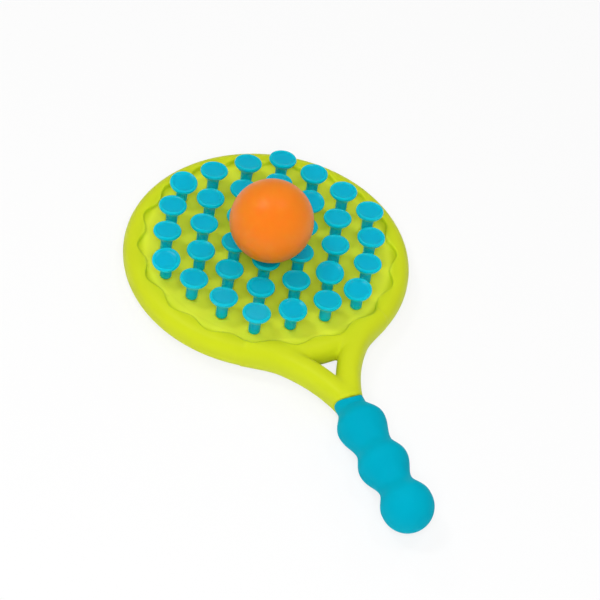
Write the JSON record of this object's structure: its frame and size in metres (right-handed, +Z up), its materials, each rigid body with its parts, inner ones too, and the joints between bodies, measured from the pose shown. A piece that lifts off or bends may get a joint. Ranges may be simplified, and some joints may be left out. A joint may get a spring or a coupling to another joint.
{
  "type": "suction paddle ball set",
  "caption": "Racket-shaped toy paddle with soft suction-cup pins standing on a round plate, a throat opening, a bulged soft grip and a ball resting on the pins.",
  "frame": {"origin": "bottom centre of the whole set's bounding box, level with the lowest point of the grip", "axes": "+Z up out of the pins, normal to the plate; the handle runs along -Y; X is across the paddle"},
  "size_m": [0.2204, 0.3882, 0.1114],
  "materials": {
    "green_plastic": "satin moulded plastic, lime green",
    "blue_silicone": "soft satin silicone, turquoise blue",
    "orange_plastic": "satin plastic, orange"
  },
  "bodies": {
    "root": {"paddle_frame": "green_plastic", "grip": "blue_silicone", "ball": "orange_plastic", "suction_pin_01": "blue_silicone", "suction_pin_02": "blue_silicone", "suction_pin_03": "blue_silicone", "suction_pin_04": "blue_silicone", "suction_pin_05": "blue_silicone", "suction_pin_06": "blue_silicone", "suction_pin_07": "blue_silicone", "suction_pin_08": "blue_silicone", "suction_pin_09": "blue_silicone", "suction_pin_10": "blue_silicone", "suction_pin_11": "blue_silicone", "suction_pin_12": "blue_silicone", "suction_pin_13": "blue_silicone", "suction_pin_14": "blue_silicone", "suction_pin_15": "blue_silicone", "suction_pin_16": "blue_silicone", "suction_pin_17": "blue_silicone", "suction_pin_18": "blue_silicone", "suction_pin_19": "blue_silicone", "suction_pin_20": "blue_silicone", "suction_pin_21": "blue_silicone", "suction_pin_22": "blue_silicone", "suction_pin_23": "blue_silicone", "suction_pin_24": "blue_silicone", "suction_pin_25": "blue_silicone", "suction_pin_26": "blue_silicone", "suction_pin_27": "blue_silicone", "suction_pin_28": "blue_silicone", "suction_pin_29": "blue_silicone", "suction_pin_30": "blue_silicone", "suction_pin_31": "blue_silicone", "suction_pin_32": "blue_silicone", "suction_pin_33": "blue_silicone", "suction_pin_34": "blue_silicone", "suction_pin_35": "blue_silicone", "suction_pin_36": "blue_silicone", "suction_pin_37": "blue_silicone"}
  },
  "joints": []
}
